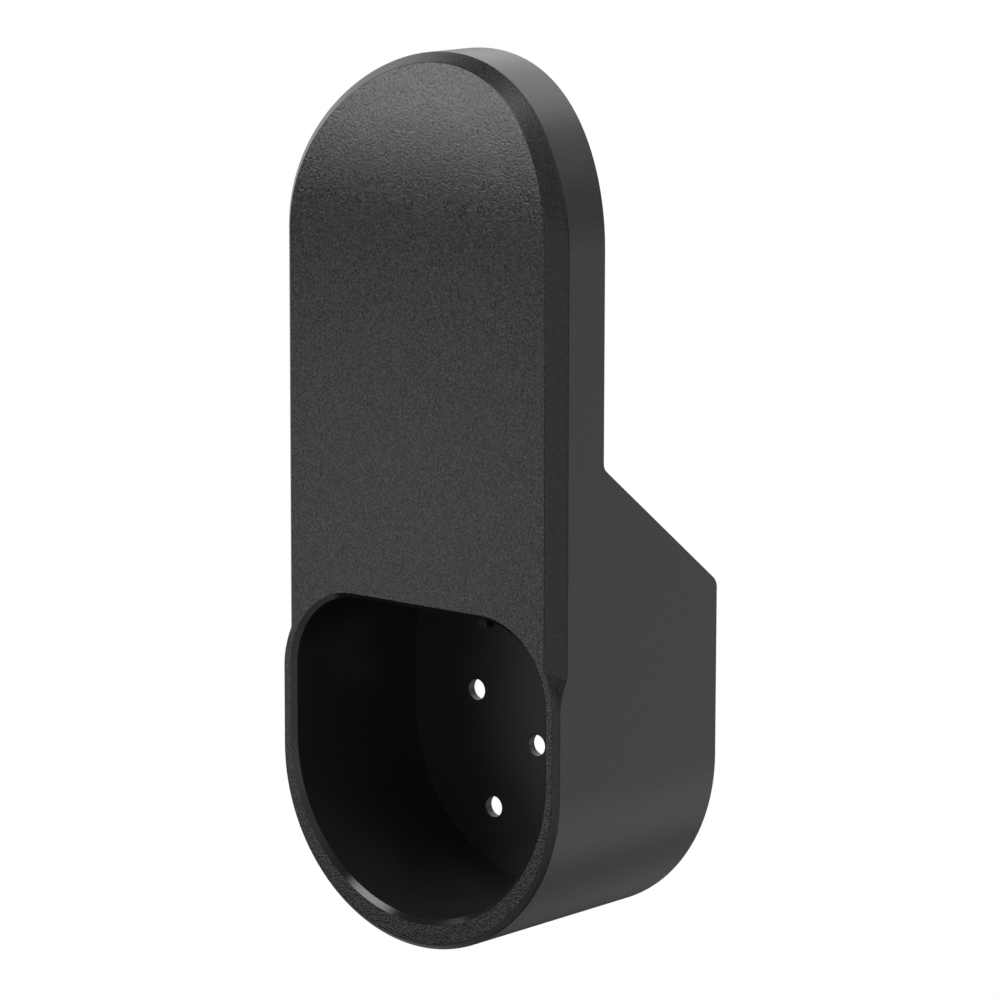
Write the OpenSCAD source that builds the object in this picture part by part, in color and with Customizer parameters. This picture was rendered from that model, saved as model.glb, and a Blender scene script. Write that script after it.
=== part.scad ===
// Wall holder for an electric car charging plug, one moulding.
// Millimetres. X to the right, Y into the wall, Z up. The middle screw's axis meets the wall plane at the origin.

/* [Body] */
// Width of the whole holder
body_w = 80; // [70:1:100]
// Height between the centres of the round top and the round bottom
straight_h = 116; // [100:1:150]
// Depth from the wall to the front face
body_d = 55; // [48:1:70]
// Outer wall thickness
wall = 3; // [2:0.1:4]

/* [Plate] */
// Depth of the upper plate
plate_d = 15.5; // [10:0.5:20]
// Width of the chamfer along the plate's front edge
edge_chamfer = 3.5; // [2:0.1:5]
// Radius by which the plate's top curls back
curl_r = 102; // [90:1:200]
// Number of flat steps in the chamfer round the top
chamfer_steps = 30; // [12:2:60]

/* [Cable slope] */
// Height of the slope's upper end above the centre of the round bottom
slope_top = 69.2; // [60:0.2:80]
// Height of the slope's lower end above the centre of the round bottom
slope_foot = 39.2; // [36:0.2:44]
// Radius inside the upper corner of the slope
slope_top_r = 2.5; // [1:0.5:10]
// Radius over the lower corner of the slope
slope_foot_r = 3; // [1:0.5:10]
// Distance of each cable rib from the centre
rib_x = 13; // [8:0.5:20]
// Thickness of a cable rib
rib_t = 2.4; // [1.6:0.1:3]
// Height of the cable ribs above the centre of the round bottom
rib_top = 92; // [80:1:110]
// Set-back of the ribs behind the walls' rear edges
rib_setback = 1; // [0.5:0.1:3]

/* [Plug socket] */
// Width of the opening for the plug
plug_w = 72; // [60:0.2:76]
// Height of the opening's flat top above the centre of the round bottom
plug_top = 35.8; // [32:0.2:40]
// Radius of the opening's two top corners
plug_corner_r = 17.4; // [8:0.2:24]
// Height of the centre of the opening's round bottom above the body's
plug_centre = 2.7; // [0:0.1:4]
// Depth of the socket from the front face to the web
socket_d = 41; // [30:0.5:48]
// Chamfer inside the mouth
mouth_chamfer = 1.3; // [0.4:0.1:1.5]
// Chamfer outside the rim
rim_chamfer = 0.7; // [0.4:0.1:1.6]
// Height where the rim's shoulders begin to run out into the plate's chamfer
rim_shoulder = 18; // [10:0.5:18]

/* [Screw web] */
// Thickness of the web that takes the screws
web_t = 2.2; // [1.6:0.1:4]
// Diameter of each screw hole
screw_d = 4.8; // [4:0.1:6]
// Height of the middle screw hole above the centre of the round bottom
screw_z = -1.6; // [-4:0.1:4]
// Radius of the ring of screw holes
screw_ring_r = 20.5; // [14:0.5:24]
// Angle of the upper screw holes above the level
screw_up = 30; // [15:1:45]
// Angle of the lower screw holes below the level
screw_down = 52; // [40:1:65]

/* [Plug catch] */
// Width of the catch that drops from the socket's ceiling
catch_w = 6; // [4:0.5:10]
// Drop of the catch
catch_h = 6.5; // [3:0.5:9]
// Distance of the catch behind the front face
catch_d = 20; // [12:0.5:28]
// Thickness of the catch at its root
catch_t = 5; // [3:0.5:8]
// Thickness of the catch at its tip
catch_tip = 2.5; // [1.5:0.5:4]

/* [Hidden] */
$fn = 128;
half_w = body_w / 2;
plug_r = plug_w / 2;
rim_w = half_w - plug_r;
ceiling_top = plug_top + wall;
slope_angle = atan2(slope_top - slope_foot, body_d - plate_d);
slope_turn = (90 - slope_angle) / 2;
slope_dir = [cos(slope_angle), -sin(slope_angle)];
over = 2;
edge_step = half_w * PI / chamfer_steps;

// Set-back of the plate's front face at a height
function curl(z) = z > straight_h ? curl_r - sqrt(curl_r * curl_r - pow(z - straight_h, 2)) : 0;

// Slope of the plate's front face at a height
function curl_slope(z) = z > straight_h ? (z - straight_h) / sqrt(curl_r * curl_r - pow(z - straight_h, 2)) : 0;

// Cosine of the angle between the outlines of the front face and the side, at an angle round the top
function edge_lean(a) = half_w * pow(sin(a), 2) / curl_r;

// Width of the chamfer at an angle round the top: less where the curled face meets the side more bluntly
function edge_width(a) = edge_chamfer * tan(acos(edge_lean(a)) / 2);

// A place on the outline round the top, set in by a distance, on the front face or deeper
function edge_at(a, inset, deeper) =
    let (z = straight_h + (half_w - inset) * sin(a))
    [(half_w - inset) * cos(a), curl(z) + deeper, z];

// Unit vector
function unit(v) = v / norm(v);

// A flat outline in X and Z, from one depth behind the front face to another
module along_depth(from, to) {
    translate([0, to, 0])
        rotate([90, 0, 0])
            linear_extrude(to - from)
                children();
}

// A flat profile in Y and Z, from one side to the other
module across(from, to) {
    translate([from, 0, 0])
        rotate([90, 0, 90])
            linear_extrude(to - from)
                children();
}

// Round-ended upright outline
module stadium(r) {
    circle(r);
    translate([0, straight_h])
        circle(r);
    translate([-r, 0])
        square([2 * r, straight_h]);
}

// Outline with a flat top, two round corners and a round bottom
module d_outline(r, corner, top, centre) {
    translate([0, centre])
        intersection() {
            circle(r);
            translate([-r - over, -r - over])
                square([2 * (r + over), r + over]);
        }
    translate([-r, centre])
        square([2 * r, top - corner - centre]);
    translate([-(r - corner), centre])
        square([2 * (r - corner), top - centre]);
    for (s = [-1, 1])
        translate([s * (r - corner), top - corner])
            circle(corner);
}

// The same outline as a solid whose edge grows from one size to another through a depth
module d_flare(r, corner, top, centre, grow_front, grow_back, h) {
    room = r + max(grow_front, grow_back) + over;
    translate([0, 0, centre])
        intersection() {
            rotate([-90, 0, 0])
                cylinder(h = h, r1 = r + grow_front, r2 = r + grow_back);
            translate([-room, -over, -room])
                cube([2 * room, h + 2 * over, room]);
        }
    for (s = [-1, 1])
        translate([s * (r - corner), 0, top - corner])
            rotate([-90, 0, 0])
                cylinder(h = h, r1 = corner + grow_front, r2 = corner + grow_back);
    translate([0, 0, centre])
        linear_extrude(top - corner - centre)
            polygon([
                [-r - grow_front, 0],
                [r + grow_front, 0],
                [r + grow_back, h],
                [-r - grow_back, h]
            ]);
    across(-(r - corner), r - corner)
        polygon([[0, centre], [0, top + grow_front], [h, top + grow_back], [h, centre]]);
}

// Side profile of the outer body, depth behind the front face and height
module side_profile() {
    foot = [body_d, slope_foot];
    foot_run = slope_foot_r * tan(slope_turn);
    foot_centre = [body_d - slope_foot_r, slope_foot - foot_run];
    head = [plate_d, slope_top];
    head_run = slope_top_r * tan(slope_turn);
    head_centre = [plate_d + slope_top_r, slope_top + head_run];
    difference() {
        polygon([
            [0, -half_w - over],
            [body_d, -half_w - over],
            foot,
            head,
            [plate_d, straight_h],
            [0, straight_h]
        ]);
        difference() {
            polygon([foot + [over, over], foot - foot_run * slope_dir, foot_centre, foot - [0, foot_run]]);
            translate(foot_centre)
                circle(slope_foot_r);
        }
    }
    difference() {
        polygon([head, head + [0, head_run], head_centre, head + head_run * slope_dir]);
        translate(head_centre)
            circle(slope_top_r);
    }
    difference() {
        intersection() {
            translate([curl_r, straight_h])
                circle(curl_r, $fn = 256);
            translate([0, straight_h])
                square([curl_r, half_w + over]);
        }
        translate([curl_r + plate_d, straight_h])
            circle(curl_r, $fn = 256);
    }
}

// Profile of the room behind the front wall and above the socket, open to the rear
module hollow_profile() {
    translate([wall, ceiling_top])
        square([body_d, straight_h - ceiling_top]);
    intersection() {
        translate([curl_r + wall, straight_h])
            circle(curl_r, $fn = 256);
        translate([0, straight_h])
            square([body_d, half_w]);
    }
}

// The rim round the mouth, flush with the plate, whose chamfer widens into the plate's at the shoulders
module rim() {
    corner = plug_corner_r + rim_w;
    d_flare(half_w, corner, rim_shoulder + corner, 0, -rim_chamfer, edge_chamfer, rim_chamfer + edge_chamfer);
}

// One flat cut of the front edge's chamfer, at an angle round the top, run out down and up the edge
module edge_cut(a, down, up) {
    front = edge_at(a, edge_width(a) * sqrt(1 - pow(edge_lean(a), 2)), 0);
    side = edge_at(a, 0, edge_width(a));
    slant = unit(side - front);
    run = [-sin(a), curl_slope(side[2]) * cos(a), cos(a)];
    out = unit(cross(slant, run));
    along = cross(out, slant);
    middle = (front + side) / 2;
    multmatrix([
        [slant[0], along[0], out[0], middle[0]],
        [slant[1], along[1], out[1], middle[1]],
        [slant[2], along[2], out[2], middle[2]],
        [0, 0, 0, 1]
    ])
        translate([-2 * edge_chamfer, -down, 0])
            cube([4 * edge_chamfer, down + up, 2 * edge_chamfer]);
}

// The outer body before the socket is taken out
module outer_body() {
    difference() {
        intersection() {
            along_depth(-over, body_d + over)
                stadium(half_w);
            across(-half_w - over, half_w + over)
                side_profile();
        }
        difference() {
            union() {
                edge_cut(0, straight_h, edge_step);
                edge_cut(180, edge_step, straight_h);
                translate([-half_w - over, -over, -half_w - over])
                    cube([body_w + 2 * over, over + rim_chamfer, half_w + over + rim_shoulder]);
            }
            rim();
        }
        for (i = [1 : chamfer_steps - 1])
            edge_cut(180 * i / chamfer_steps, edge_step, edge_step);
    }
}

// The socket for the plug, with its flared mouth
module socket() {
    along_depth(-over, socket_d)
        d_outline(plug_r, plug_corner_r, plug_top, plug_centre);
    d_flare(plug_r, plug_corner_r, plug_top, plug_centre, mouth_chamfer, 0, mouth_chamfer);
}

// The rooms that are open to the rear
module rear_rooms() {
    along_depth(socket_d + web_t, body_d + over)
        d_outline(plug_r, plug_corner_r, plug_top, plug_centre);
    difference() {
        intersection() {
            along_depth(0, body_d + over)
                stadium(half_w - wall);
            across(-half_w, half_w)
                hollow_profile();
        }
        cable_ribs();
    }
}

// Two upright ribs that carry the cable between the side walls
module cable_ribs() {
    for (s = [-1, 1])
        across(s * rib_x - rib_t / 2, s * rib_x + rib_t / 2)
            intersection() {
                translate([-rib_setback, 0])
                    side_profile();
                square([body_d, rib_top]);
            }
}

// Screw holes through the web
module screw_hole(x, z) {
    translate([x, socket_d - over, z])
        rotate([-90, 0, 0])
            cylinder(h = web_t + 2 * over, d = screw_d, $fn = 48);
}

// The catch that holds the plug's latch
module plug_catch() {
    across(-catch_w / 2, catch_w / 2)
        polygon([
            [catch_d, plug_top + wall / 2],
            [catch_d, plug_top],
            [catch_d + catch_t - catch_tip, plug_top - catch_h],
            [catch_d + catch_t, plug_top - catch_h],
            [catch_d + catch_t, plug_top + wall / 2]
        ]);
}

module holder() {
    color("#3c3c3d")
        translate([0, -body_d, -screw_z]) {
            difference() {
                outer_body();
                socket();
                rear_rooms();
                screw_hole(0, screw_z);
                for (s = [-1, 1]) {
                    screw_hole(s * screw_ring_r * cos(screw_up), screw_z + screw_ring_r * sin(screw_up));
                    screw_hole(s * screw_ring_r * cos(screw_down), screw_z - screw_ring_r * sin(screw_down));
                }
            }
            plug_catch();
        }
}

holder();
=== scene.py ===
from math import acos, asin, atan2, cos, degrees, pi, radians, sin, sqrt, tan

import bmesh
import bpy
from mathutils import Matrix, Vector


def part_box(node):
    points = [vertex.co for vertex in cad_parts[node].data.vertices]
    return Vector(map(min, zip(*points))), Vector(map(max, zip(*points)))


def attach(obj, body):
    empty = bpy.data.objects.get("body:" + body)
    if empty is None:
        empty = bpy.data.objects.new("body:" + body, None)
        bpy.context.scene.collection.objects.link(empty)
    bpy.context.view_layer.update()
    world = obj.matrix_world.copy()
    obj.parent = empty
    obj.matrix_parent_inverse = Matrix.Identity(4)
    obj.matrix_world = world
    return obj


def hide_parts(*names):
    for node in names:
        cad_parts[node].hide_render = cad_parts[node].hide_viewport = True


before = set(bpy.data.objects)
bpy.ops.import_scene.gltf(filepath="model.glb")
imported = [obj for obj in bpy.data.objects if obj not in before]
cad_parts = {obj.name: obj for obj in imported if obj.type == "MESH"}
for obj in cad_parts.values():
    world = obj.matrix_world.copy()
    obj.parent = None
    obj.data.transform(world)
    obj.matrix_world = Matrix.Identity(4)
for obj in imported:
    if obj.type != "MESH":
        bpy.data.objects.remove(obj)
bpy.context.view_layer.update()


# The holder: one injection moulding in charcoal ABS, screwed to the wall through the web in its socket.
# The outside is the tool's cavity side, eroded to a grain; the socket and the rear are its smooth core side.
# It is drawn as clean faces, right half and mirror image, so that every edge can carry its small radius.
MM = 0.001
low_corner, high_corner = (Vector(corner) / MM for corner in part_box("holder"))
half_w = (high_corner.x - low_corner.x) / 2
body_d = high_corner.y - low_corner.y
straight_h = high_corner.z - low_corner.z - 2 * half_w
front_y = low_corner.y
round_bottom_z = low_corner.z + half_w

# Walls, plate and chamfers, in mm; the rim's bow and the shoulder's rise are shares
wall = 3
plate_d = 15.5
edge_chamfer = 3.5
curl_r = 102
rim_chamfer = 1.2
rim_bow = 0.1
rim_shoulder = 18
shoulder_rise = 0.74
mouth_chamfer = 1.1

# Cable slope and ribs, in mm
slope_top = 69.2
slope_foot = 39.2
slope_top_r = 2.5
slope_foot_r = 3
rib_x = 13
rib_t = 2.4
rib_top = 92
rib_setback = 1

# Socket, web, screw holes and catch, in mm and degrees
plug_r = 36
plug_top = 35.8
plug_corner_r = 17.4
plug_centre = 2.7
socket_d = 41
web_t = 2.2
screw_r = 2.4
screw_z = -1.6
screw_ring_r = 20.5
screw_up = 30
screw_down = 52
catch_w = 2.4
catch_h = 7.5
catch_d = 20
catch_t = 5
catch_tip = 2.5

# Steps in the curves, and rings inside the edge of a bent face, in mm
ROUND_STEPS = 36
CORNER_STEPS = 12
RIM_END_STEPS = 8
EDGE_STEPS = 5
HOLE_STEPS = 12
SLOPE_FOOT_STEPS = 2
SLOPE_TOP_STEPS = 4
BENT_RINGS = (0, 3, 8)

rim_w = half_w - plug_r
rim_corner_r = plug_corner_r + rim_w
rim_corner = (half_w - rim_corner_r, rim_shoulder)
ceiling_top = plug_top + wall
chamfer_front_x = half_w - edge_chamfer
inner_r = half_w - wall

FRONT, SIDE, SMOOTH, POLISHED = 0, 1, 2, 3
SAME_PLACE_DIGITS = 4
moulding = bmesh.new()
corners = {}
edge_weight = moulding.edges.layers.float.new("bevel_weight_edge")


def corner(x, u, z):
    """The vertex at x, a depth u behind the front and a height z over the round bottom's centre."""
    key = tuple(round(place, SAME_PLACE_DIGITS) for place in (x, u, z))
    if key not in corners:
        corners[key] = moulding.verts.new((x * MM, (front_y + u) * MM, (round_bottom_z + z) * MM))
    return corners[key]


def face(points, finish):
    """One face of the right half and its mirror image. Points that fall together are taken once."""
    made = []
    for side in (1, -1):
        loop = []
        for x, u, z in points:
            vertex = corner(side * x, u, z)
            if vertex not in loop:
                loop.append(vertex)
        if len(loop) > 2:
            made.append(moulding.faces.new(loop))
            made[-1].material_index = finish
    return made


def strip(first, second, finish):
    """Faces between two rows of points."""
    made = []
    for a, b, c, d in zip(first, first[1:], second[1:], second):
        made += face((a, b, c, d), finish)
    return made


def turn(centre, r, start, end, steps):
    """Points on an arc, from one angle in degrees to another."""
    angles = [radians(start + (end - start) * i / steps) for i in range(steps + 1)]
    return [(centre[0] + r * cos(a), centre[1] + r * sin(a)) for a in angles]


def curl(z):
    """How far the plate's top has bent back at a height."""
    over = max(0, z - straight_h)
    return curl_r - sqrt(curl_r ** 2 - over ** 2)


def at_depth(outline, u):
    """An outline in x and z, laid at a depth behind the front face, and bent back with the plate."""
    return [(x, u + curl(z), z) for x, z in outline]


def plug_outline(grow):
    """Right half of the socket's outline, from the top down, with a stop level with each screw hole."""
    hole_up = screw_z + screw_ring_r * sin(radians(screw_up))
    hole_down = screw_z - screw_ring_r * sin(radians(screw_down))
    stop = degrees(asin((hole_down - plug_centre) / plug_r))
    shoulder = (plug_r - plug_corner_r, plug_top - plug_corner_r)
    flat_top = [(0, plug_top + grow), (catch_w / 2, plug_top + grow)]
    return (
        flat_top
        + turn(shoulder, plug_corner_r + grow, 90, 0, CORNER_STEPS)
        + [(plug_r + grow, hole_up)]
        + turn((0, plug_centre), plug_r + grow, 0, stop, CORNER_STEPS)
        + turn((0, plug_centre), plug_r + grow, stop, -90, 2 * CORNER_STEPS)[1:]
    )


# Rear edge of the side walls, from the ceiling of the socket up to the plate's bend: depth and height
slope_angle = degrees(atan2(slope_top - slope_foot, body_d - plate_d))
slope_turn = tan(radians(90 - slope_angle) / 2)
foot_centre = (body_d - slope_foot_r, slope_foot - slope_foot_r * slope_turn)
head_centre = (plate_d + slope_top_r, slope_top + slope_top_r * slope_turn)
ceiling_angle = degrees(asin((ceiling_top - foot_centre[1]) / slope_foot_r))
foot_arc = turn(foot_centre, slope_foot_r, 0, ceiling_angle, SLOPE_FOOT_STEPS)
slope_edge = (
    turn(foot_centre, slope_foot_r, ceiling_angle, 90 - slope_angle, SLOPE_FOOT_STEPS)
    + turn(head_centre, slope_top_r, 270 - slope_angle, 180, SLOPE_TOP_STEPS)
)
wall_edge = slope_edge + [(plate_d, straight_h)]
rib_edge = [(u - rib_setback, z) for u, z in slope_edge] + [(plate_d - rib_setback, rib_top)]


# The front edge: a narrow, slightly bowed chamfer on the rim, which widens and flattens up the shoulders
# into the plate's chamfer
def edge_row(flat, side, bow):
    """Points across the front edge, from its line on the front face to its line on the side."""
    width = Vector(side) - Vector(flat)
    row = [flat]
    for i in range(1, EDGE_STEPS):
        t = pi / 2 * i / EDGE_STEPS
        straight = Vector(flat) + width * (i / EDGE_STEPS)
        bowed = Vector(flat) + Vector((width.x * sin(t), width.y * (1 - cos(t)), width.z * sin(t)))
        row.append(tuple(straight.lerp(bowed, bow)))
    return row + [side]


bottom = turn((0, 0), half_w, -90, 0, ROUND_STEPS)
rim_front = at_depth(turn((0, 0), half_w - rim_chamfer, -90, 0, ROUND_STEPS), 0)
rim_side = at_depth(bottom, rim_chamfer)
rim_rows = [edge_row(flat, side, rim_bow) for flat, side in zip(rim_front, rim_side)]
strip(rim_side, at_depth(bottom, body_d), SIDE)

rim_flat_r = rim_corner_r - rim_chamfer
front_end = degrees(acos((chamfer_front_x - rim_corner[0]) / rim_flat_r))
side_end = acos(rim_corner_r / (rim_flat_r + edge_chamfer))
shoulder_front = at_depth(turn(rim_corner, rim_flat_r, 0, front_end, RIM_END_STEPS), 0)
shoulder_side = []
for i, flat in enumerate(shoulder_front):
    angle = side_end * i / RIM_END_STEPS
    reach = rim_corner_r / cos(angle)
    side = (half_w, reach - rim_flat_r, rim_shoulder + shoulder_rise * reach * sin(angle))
    shoulder_side.append(side)
    rim_rows.append(edge_row(flat, side, rim_bow * (1 - i / RIM_END_STEPS)))
for low, high in zip(rim_rows, rim_rows[1:]):
    strip(low, high, SIDE)

# Chamfer up the side and the flat outside of the wall
bend_front = (chamfer_front_x, 0, straight_h)
bend_side = (half_w, edge_chamfer, straight_h)
chamfer_faces = strip(rim_rows[-1], edge_row(bend_front, bend_side, 0), SIDE)
face(
    [(half_w, rim_chamfer, 0)]
    + shoulder_side
    + [bend_side]
    + [(half_w, u, z) for u, z in reversed(foot_arc[:-1] + wall_edge)]
    + [(half_w, body_d, 0)],
    SIDE,
)

# Round top: front, chamfer, outside, rear edge, inside and the room's front wall, all bent back.
# The chamfer narrows towards the top, where the bent face meets the side more bluntly.
top_angles = [pi / 2 * i / ROUND_STEPS for i in range(ROUND_STEPS + 1)]
top_lean = [half_w * sin(a) ** 2 / curl_r for a in top_angles]
top_width = [edge_chamfer * tan(acos(lean) / 2) for lean in top_lean]
top_inset = [width * sqrt(1 - lean ** 2) for width, lean in zip(top_width, top_lean)]


def round_top(r, insets=None):
    """The outline round the top at a radius, less an inset at each angle."""
    insets = insets or [0] * len(top_angles)
    return [((r - inset) * cos(a), straight_h + (r - inset) * sin(a)) for a, inset in zip(top_angles, insets)]


for r, insets, u, finish in ((half_w, top_inset, 0, FRONT), (inner_r, None, wall, SMOOTH)):
    rings = [round_top(r - step, insets) for step in BENT_RINGS]
    for outer, inner in zip(rings, rings[1:]):
        strip(at_depth(outer, u), at_depth(inner, u), finish)
    strip(at_depth(rings[-1], u), at_depth([(0, z) for x, z in rings[-1]], u), finish)
top_front = at_depth(round_top(half_w, top_inset), 0)
top_side = [(x, u + width, z) for (x, u, z), width in zip(at_depth(round_top(half_w), 0), top_width)]
top_rows = [edge_row(flat, side, 0) for flat, side in zip(top_front, top_side)]
for low, high in zip(top_rows, top_rows[1:]):
    chamfer_faces += strip(low, high, SIDE)
strip(top_side, at_depth(round_top(half_w), plate_d), SIDE)
strip(at_depth(round_top(half_w), plate_d), at_depth(round_top(inner_r), plate_d), SIDE)
strip(at_depth(round_top(inner_r), plate_d), at_depth(round_top(inner_r), wall), SMOOTH)

# Flat front face round the mouth, up to the bend
face(
    rim_front
    + shoulder_front
    + [(chamfer_front_x - step, 0, straight_h) for step in BENT_RINGS]
    + [(0, 0, straight_h)]
    + at_depth(plug_outline(mouth_chamfer), 0),
    FRONT,
)

# Mouth's chamfer and socket walls, with the catch in the ceiling
catch_half = catch_w / 2
socket_rings = [
    at_depth(plug_outline(mouth_chamfer), 0),
    at_depth(plug_outline(0), mouth_chamfer),
    at_depth(plug_outline(0), catch_d),
    at_depth(plug_outline(0), catch_d + catch_t),
    at_depth(plug_outline(0), socket_d),
]
for i, (near, far) in enumerate(zip(socket_rings, socket_rings[1:])):
    if near[0][1] == catch_d:
        strip(near[1:], far[1:], SMOOTH)
    else:
        strip(near, far, SMOOTH if i else POLISHED)
catch_side = [
    (catch_d, plug_top),
    (catch_d + catch_t - catch_tip, plug_top - catch_h),
    (catch_d + catch_t, plug_top - catch_h),
    (catch_d + catch_t, plug_top),
]
strip([(0, u, z) for u, z in catch_side], [(catch_half, u, z) for u, z in catch_side], SMOOTH)
face([(catch_half, u, z) for u, z in catch_side], SMOOTH)

# Screw web: front and rear in three bands that part at the screw holes, and the holes' walls
upper_hole = (screw_ring_r * cos(radians(screw_up)), screw_z + screw_ring_r * sin(radians(screw_up)))
lower_hole = (screw_ring_r * cos(radians(screw_down)), screw_z - screw_ring_r * sin(radians(screw_down)))
SAME_LEVEL = 0.01
edge = plug_outline(0)
upper_stop = next(i for i, (x, z) in enumerate(edge) if abs(z - upper_hole[1]) < SAME_LEVEL)
lower_stop = next(i for i, (x, z) in enumerate(edge) if abs(z - lower_hole[1]) < SAME_LEVEL)
upper_over = turn(upper_hole, screw_r, 0, 180, HOLE_STEPS)
upper_under = turn(upper_hole, screw_r, 0, -180, HOLE_STEPS)
lower_over = turn(lower_hole, screw_r, 0, 180, HOLE_STEPS)
lower_under = turn(lower_hole, screw_r, 0, -180, HOLE_STEPS)
middle_half = turn((0, screw_z), screw_r, -90, 90, HOLE_STEPS)
upper_middle = [(0, upper_hole[1])]
lower_middle = [(0, lower_hole[1])]
web_bands = [
    edge[: upper_stop + 1] + upper_over + upper_middle,
    edge[upper_stop : lower_stop + 1]
    + lower_over
    + lower_middle
    + middle_half
    + upper_middle
    + upper_under[::-1],
    edge[lower_stop:] + lower_middle + lower_under[::-1],
]
for u in (socket_d, socket_d + web_t):
    for band in web_bands:
        face(at_depth(band, u), SMOOTH)
for arc in (upper_over, upper_under, lower_over, lower_under, middle_half):
    strip(at_depth(arc, socket_d), at_depth(arc, socket_d + web_t), SMOOTH)
strip(at_depth(plug_outline(0), socket_d + web_t), at_depth(plug_outline(0), body_d), SMOOTH)

# Rear rim on the wall, and the rounded foot of the slope over it
foot_z = foot_arc[0][1]
face(
    at_depth(bottom, body_d)
    + [(half_w, body_d, foot_z), (inner_r, body_d, foot_z), (0, body_d, foot_z)]
    + at_depth(plug_outline(0), body_d),
    SIDE,
)
for inside, outside in ((0, inner_r), (inner_r, half_w)):
    strip([(inside, u, z) for u, z in foot_arc], [(outside, u, z) for u, z in foot_arc], SIDE)
strip([(inner_r, u, z) for u, z in wall_edge], [(half_w, u, z) for u, z in wall_edge], SIDE)

# The room behind the plate: floor, front wall and side wall, open to the rear
rib_in, rib_out = rib_x - rib_t / 2, rib_x + rib_t / 2
rib_foot = rib_edge[0][0]
ceiling_end = foot_arc[-1][0]
face(
    [
        (0, wall, ceiling_top),
        (rib_in, wall, ceiling_top),
        (rib_in, rib_foot, ceiling_top),
        (rib_out, rib_foot, ceiling_top),
        (rib_out, wall, ceiling_top),
        (inner_r, wall, ceiling_top),
        (inner_r, ceiling_end, ceiling_top),
        (0, ceiling_end, ceiling_top),
    ],
    SMOOTH,
)
face(
    [
        (0, wall, ceiling_top),
        (rib_in, wall, ceiling_top),
        (rib_in, wall, rib_top),
        (rib_out, wall, rib_top),
        (rib_out, wall, ceiling_top),
        (inner_r, wall, ceiling_top),
    ]
    + [(inner_r - step, wall, straight_h) for step in BENT_RINGS]
    + [(0, wall, straight_h)],
    SMOOTH,
)
face(
    [(inner_r, wall, ceiling_top), (inner_r, wall, straight_h)]
    + [(inner_r, u, z) for u, z in reversed(wall_edge)],
    SMOOTH,
)

# Cable ribs
for x in (rib_in, rib_out):
    face([(x, wall, ceiling_top)] + [(x, u, z) for u, z in rib_edge] + [(x, wall, rib_top)], SMOOTH)
rib_rim = rib_edge + [(wall, rib_top)]
strip([(rib_in, u, z) for u, z in rib_rim], [(rib_out, u, z) for u, z in rib_rim], SMOOTH)

# Outer edges are broken, widest along the plate's chamfer, and less where the faces meet at a blunt angle.
# The socket's root and both edges of the mouth's chamfer stay sharp.
EDGE_RADIUS = 0.25 * MM
FINE_EDGE = 0.7
BROKEN_ANGLE, FULL_ANGLE = radians(25), radians(45)
bmesh.ops.recalc_face_normals(moulding, faces=moulding.faces)
moulding.normal_update()
wide_faces = set(chamfer_faces)
for bend in moulding.edges:
    angle = bend.calc_face_angle()
    if angle > BROKEN_ANGLE:
        inside = bend.calc_face_angle_signed() < 0
        mouth = any(meeting.material_index == POLISHED for meeting in bend.link_faces)
        width = 1 if wide_faces.intersection(bend.link_faces) else FINE_EDGE
        share = min(1, (angle - BROKEN_ANGLE) / (FULL_ANGLE - BROKEN_ANGLE))
        bend.smooth = not (inside or mouth)
        bend[edge_weight] = 0 if inside or mouth else share * width
moulding_mesh = bpy.data.meshes.new("holder_moulding")
moulding.to_mesh(moulding_mesh)
moulding.free()
for polygon in moulding_mesh.polygons:
    polygon.use_smooth = True
holder = bpy.data.objects.new("holder_moulding", moulding_mesh)
bpy.context.scene.collection.objects.link(holder)

edge_round = holder.modifiers.new("broken_edges", "BEVEL")
edge_round.limit_method = "WEIGHT"
edge_round.width = EDGE_RADIUS
edge_round.segments = 3
edge_round.material = SIDE
edge_round.use_clamp_overlap = False
shading = holder.modifiers.new("flat_faces", "WEIGHTED_NORMAL")
shading.weight = 100
shading.keep_sharp = True


def linear(hex_colour):
    """An sRGB hex colour as linear values with alpha."""
    channels = [int(hex_colour[i : i + 2], 16) / 255 for i in (1, 3, 5)]
    return [c / 12.92 if c <= 0.04045 else ((c + 0.055) / 1.055) ** 2.4 for c in channels] + [1]


def add_node(material, kind, links=(), **settings):
    """Adds a node: settings are its properties or inputs, links join other nodes' outputs to its inputs."""
    made = material.node_tree.nodes.new(kind)
    for name, value in settings.items():
        if hasattr(made, name):
            setattr(made, name, value)
        else:
            made.inputs[name.replace("_", " ")].default_value = value
    for output, name in links:
        material.node_tree.links.new(output, made.inputs[name])
    return made


ABS_IOR = 1.54
NOISE_LOW, NOISE_HIGH = 0.3, 0.7
FLECK_LOW, FLECK_HIGH = 0.36, 0.66


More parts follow.
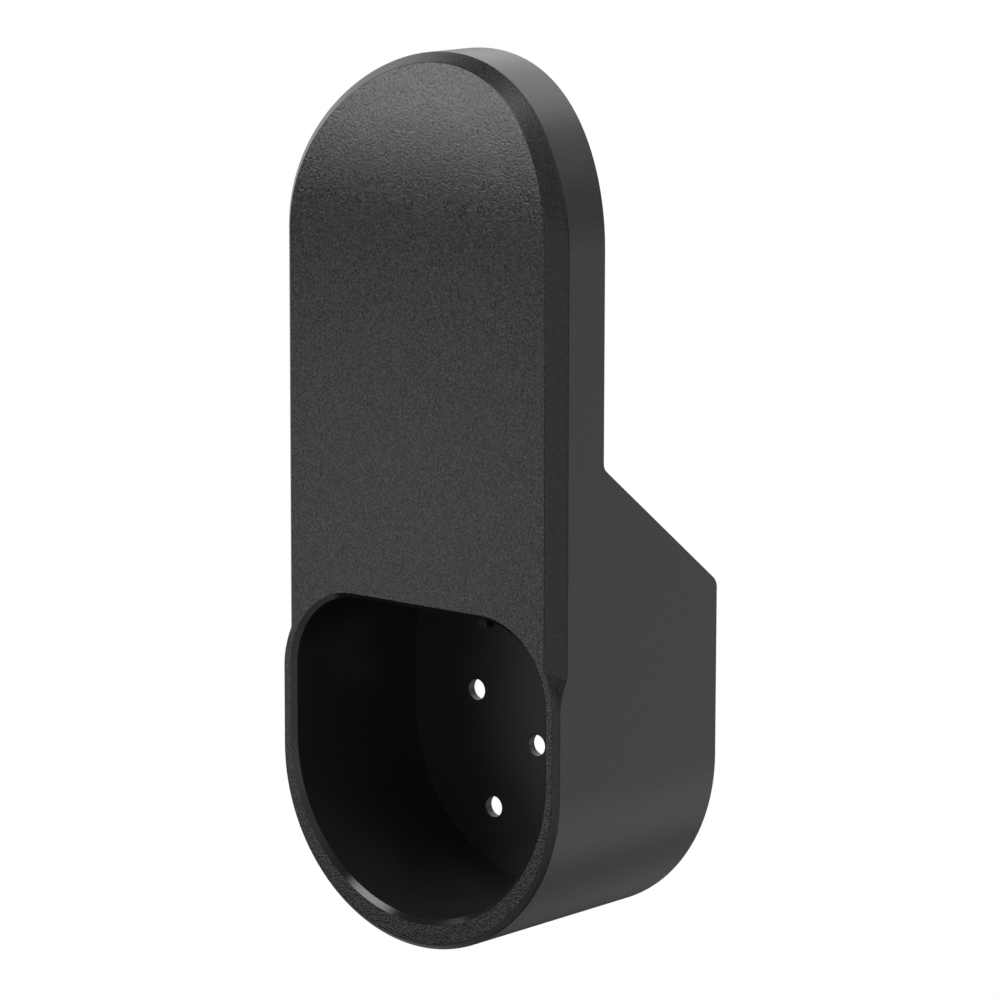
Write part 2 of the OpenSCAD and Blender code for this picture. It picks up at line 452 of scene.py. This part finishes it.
def grained_abs(name, grain_size, relief_depth, shadow, light, dull, dull_spread):
    """Charcoal ABS with an eroded grain: relief, colour and dullness all follow one noise."""
    abs_plastic = bpy.data.materials.new(name)
    abs_plastic.use_nodes = True
    abs_plastic.node_tree.nodes.clear()
    place = add_node(abs_plastic, "ShaderNodeTexCoord")
    grain = add_node(
        abs_plastic, "ShaderNodeTexNoise", [(place.outputs["Object"], "Vector")],
        Scale=1 / grain_size, Detail=2.0, Roughness=0.6,
    )
    fleck = add_node(abs_plastic, "ShaderNodeValToRGB", [(grain.outputs["Fac"], "Fac")])
    fleck.color_ramp.elements[0].position = FLECK_LOW
    fleck.color_ramp.elements[0].color = linear(shadow)
    fleck.color_ramp.elements[1].position = FLECK_HIGH
    fleck.color_ramp.elements[1].color = linear(light)
    relief = add_node(
        abs_plastic, "ShaderNodeBump", [(grain.outputs["Fac"], "Height")],
        Strength=1.0, Distance=relief_depth,
    )
    dullness = add_node(
        abs_plastic, "ShaderNodeMapRange", [(grain.outputs["Fac"], "Value")],
        From_Min=NOISE_LOW, From_Max=NOISE_HIGH, To_Min=dull - dull_spread, To_Max=dull + dull_spread,
    )
    surface = add_node(
        abs_plastic, "ShaderNodeBsdfPrincipled",
        [
            (fleck.outputs["Color"], "Base Color"),
            (dullness.outputs["Result"], "Roughness"),
            (relief.outputs["Normal"], "Normal"),
        ],
        IOR=ABS_IOR,
    )
    add_node(abs_plastic, "ShaderNodeOutputMaterial", [(surface.outputs["BSDF"], "Surface")])
    return abs_plastic


# Spark-eroded front: a coarse grain that breaks the sheen at the top into single bright grains,
# drawn about twice its real size so that it shows
front_abs = grained_abs(
    "moulded_abs_eroded_grain", grain_size=0.45 * MM, relief_depth=0.14 * MM,
    shadow="#050405", light="#424142", dull=0.18, dull_spread=0.05,
)

# Side walls and chamfers: drawn along the tool, so the grain is finer and the sheen even
side_abs = grained_abs(
    "moulded_abs_fine_grain", grain_size=0.4 * MM, relief_depth=0.035 * MM,
    shadow="#0f0e0f", light="#2f2e2f", dull=0.26, dull_spread=0.04,
)

FLOW = 18 * MM


def smooth_abs(name, shadow, light, low_dull, high_dull):
    """Ungrained ABS, its colour and dullness drifting in slow flow waves."""
    abs_plastic = bpy.data.materials.new(name)
    abs_plastic.use_nodes = True
    abs_plastic.node_tree.nodes.clear()
    place = add_node(abs_plastic, "ShaderNodeTexCoord")
    flow = add_node(
        abs_plastic, "ShaderNodeTexNoise", [(place.outputs["Object"], "Vector")],
        Scale=1 / FLOW, Detail=2.0,
    )
    tint = add_node(abs_plastic, "ShaderNodeValToRGB", [(flow.outputs["Fac"], "Fac")])
    tint.color_ramp.elements[0].color = linear(shadow)
    tint.color_ramp.elements[1].color = linear(light)
    dullness = add_node(
        abs_plastic, "ShaderNodeMapRange", [(flow.outputs["Fac"], "Value")],
        From_Min=NOISE_LOW, From_Max=NOISE_HIGH, To_Min=low_dull, To_Max=high_dull,
    )
    surface = add_node(
        abs_plastic, "ShaderNodeBsdfPrincipled",
        [(tint.outputs["Color"], "Base Color"), (dullness.outputs["Result"], "Roughness")],
        IOR=ABS_IOR,
    )
    add_node(abs_plastic, "ShaderNodeOutputMaterial", [(surface.outputs["BSDF"], "Surface")])
    return abs_plastic


# Socket, web and rear, from the core side: a dull black that lets the hollow stay dark
core_abs = smooth_abs(
    "moulded_abs_smooth", shadow="#1d1c1d", light="#282728", low_dull=0.34, high_dull=0.44
)

# Chamfer round the mouth, polished so that the plug slides in: a sharp glint at its lower left
mouth_abs = smooth_abs(
    "moulded_abs_polished", shadow="#1f1e1f", light="#292829", low_dull=0.1, high_dull=0.14
)

for finish in (front_abs, side_abs, core_abs, mouth_abs):
    moulding_mesh.materials.append(finish)
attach(holder, "root")
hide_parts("holder")


# The studio: lit white acrylic far below the holder, a near soft box on the left and a tent of soft panels
# all round, white where the camera sees it. The camera stands at the photograph's angle.
CAMERA_YAW = radians(40.486)
CAMERA_PITCH = radians(10.197)
CAMERA_ROLL = radians(0.126)
CAMERA_DISTANCE = 1076.99 * MM
FOCAL_PIXELS = 4906.5
IMAGE_PIXELS = 1000
AIM_RIGHT, AIM_BEHIND, AIM_ABOVE = 2.748, 25, 56.829
aim = Vector((AIM_RIGHT, front_y + AIM_BEHIND, round_bottom_z + AIM_ABOVE)) * MM
ahead = Vector((-sin(CAMERA_YAW), cos(CAMERA_YAW), 0))
forward = ahead * cos(CAMERA_PITCH) - Vector((0, 0, sin(CAMERA_PITCH)))
level = Vector((cos(CAMERA_YAW), sin(CAMERA_YAW), 0))
upright = level.cross(forward)
right = level * cos(CAMERA_ROLL) + upright * sin(CAMERA_ROLL)
up = upright * cos(CAMERA_ROLL) - level * sin(CAMERA_ROLL)
lens = bpy.data.cameras.new("camera")
lens.sensor_width = 36
lens.lens = FOCAL_PIXELS / IMAGE_PIXELS * lens.sensor_width
lens.clip_end = 100
camera = bpy.data.objects.new("camera", lens)
bpy.context.scene.collection.objects.link(camera)
turned = Matrix((right, up, -forward)).transposed().to_4x4()
camera.matrix_world = Matrix.Translation(aim - forward * CAMERA_DISTANCE) @ turned
bpy.context.scene.camera = camera
bpy.context.scene.view_settings.view_transform = "Standard"

FLOOR_DROP = 0.4
FLOOR_REACH = 20
floor_z = low_corner.z * MM - FLOOR_DROP
floor_mesh = bpy.data.meshes.new("floor")
floor_corners = ((-1, -1), (1, -1), (1, 1), (-1, 1))
floor_mesh.from_pydata(
    [(x * FLOOR_REACH, y * FLOOR_REACH, floor_z) for x, y in floor_corners], [], [(0, 1, 2, 3)]
)
floor = bpy.data.objects.new("floor", floor_mesh)
bpy.context.scene.collection.objects.link(floor)
floor.visible_diffuse = False
floor.visible_glossy = False

# White acrylic lit from below: no shadow and no horizon, as in the photograph
lit_acrylic = bpy.data.materials.new("lit_white_acrylic")
lit_acrylic.use_nodes = True
lit_acrylic.node_tree.nodes.clear()
sheet = add_node(lit_acrylic, "ShaderNodeEmission", Strength=1.0)
add_node(lit_acrylic, "ShaderNodeOutputMaterial", [(sheet.outputs["Emission"], "Surface")])
floor_mesh.materials.append(lit_acrylic)

# A soft box low on the left, which the front face mirrors down to the mouth but not at the rim's bottom
SOFT_BOX_WAY = Vector((-0.64, -0.75, 0)).normalized()
SOFT_BOX_DISTANCE = 300 * MM
SOFT_BOX_LOW, SOFT_BOX_HIGH = -98 * MM, 76 * MM
SOFT_BOX_WIDTH = 200 * MM
SOFT_BOX_POWER = 0.103
soft_box = bpy.data.lights.new("soft_box", "AREA")
soft_box.shape = "RECTANGLE"
soft_box.size = SOFT_BOX_WIDTH
soft_box.size_y = SOFT_BOX_HIGH - SOFT_BOX_LOW
soft_box.energy = SOFT_BOX_POWER
lamp = bpy.data.objects.new("soft_box", soft_box)
bpy.context.scene.collection.objects.link(lamp)
lamp.rotation_euler = SOFT_BOX_WAY.to_track_quat("Z", "Y").to_euler()
rim_centre = Vector((0, front_y, round_bottom_z)) * MM
soft_box_rise = Vector((0, 0, (SOFT_BOX_LOW + SOFT_BOX_HIGH) / 2))
lamp.location = rim_centre + SOFT_BOX_WAY * SOFT_BOX_DISTANCE + soft_box_rise

# The tent's panels, each brightest in one direction and faded out at an angle from it: degrees to the right
# of the front, degrees above level, degrees to the end of the fade, and light
TENT_PANELS = (
    ("key on the left", -42, 27, 22, 5.5),
    ("key overhead", -22, 63, 18, 5.0),
    ("rear left, high", -150, 42, 40, 1.3),
    ("left", -112, 14, 40, 0.9),
    ("right, high", 90, 42, 40, 0.65),
    ("rear right, high", 150, 42, 40, 0.75),
    ("rear right, low", 135, -18, 40, 0.7),
    ("roof", 90, 75, 40, 0.5),
    ("front right, low", 45, -18, 40, 0.5),
    ("front right", 22, 14, 40, 0.5),
    ("rear, low", 180, -18, 40, 0.45),
    ("front, from below", 0, -60, 40, 0.35),
    ("left, from below", -108, -49, 35, 0.4),
    ("right, low", 90, -18, 40, 0.2),
)
PANEL_CORE = 0.15
tent = bpy.data.worlds.new("white_tent")
tent.use_nodes = True
tent.node_tree.nodes.clear()
place = add_node(tent, "ShaderNodeTexCoord")
total = None
for title, to_right, above, fade, light in TENT_PANELS:
    around, rise = radians(to_right), radians(above)
    toward = add_node(
        tent, "ShaderNodeVectorMath", [(place.outputs["Generated"], 0)], operation="DOT_PRODUCT", label=title
    )
    toward.inputs[1].default_value = (sin(around) * cos(rise), -cos(around) * cos(rise), sin(rise))
    panel = add_node(
        tent, "ShaderNodeMapRange", [(toward.outputs["Value"], "Value")], interpolation_type="SMOOTHSTEP",
        From_Min=cos(radians(fade)), From_Max=cos(radians(PANEL_CORE * fade)), To_Min=0.0, To_Max=light,
    )
    if total is None:
        total = panel.outputs["Result"]
    else:
        joined = add_node(tent, "ShaderNodeMath", [(total, 0), (panel.outputs["Result"], 1)], operation="ADD")
        total = joined.outputs["Value"]
glow = add_node(tent, "ShaderNodeBackground", [(total, "Strength")])
glow.inputs["Color"].default_value = linear("#ffffff")
backdrop = add_node(tent, "ShaderNodeBackground", Strength=1.0)
backdrop.inputs["Color"].default_value = linear("#ffffff")
path = add_node(tent, "ShaderNodeLightPath")
either = add_node(
    tent, "ShaderNodeMixShader",
    [
        (path.outputs["Is Camera Ray"], 0),
        (glow.outputs["Background"], 1),
        (backdrop.outputs["Background"], 2),
    ],
)
add_node(tent, "ShaderNodeOutputWorld", [(either.outputs["Shader"], "Surface")])
bpy.context.scene.world = tent
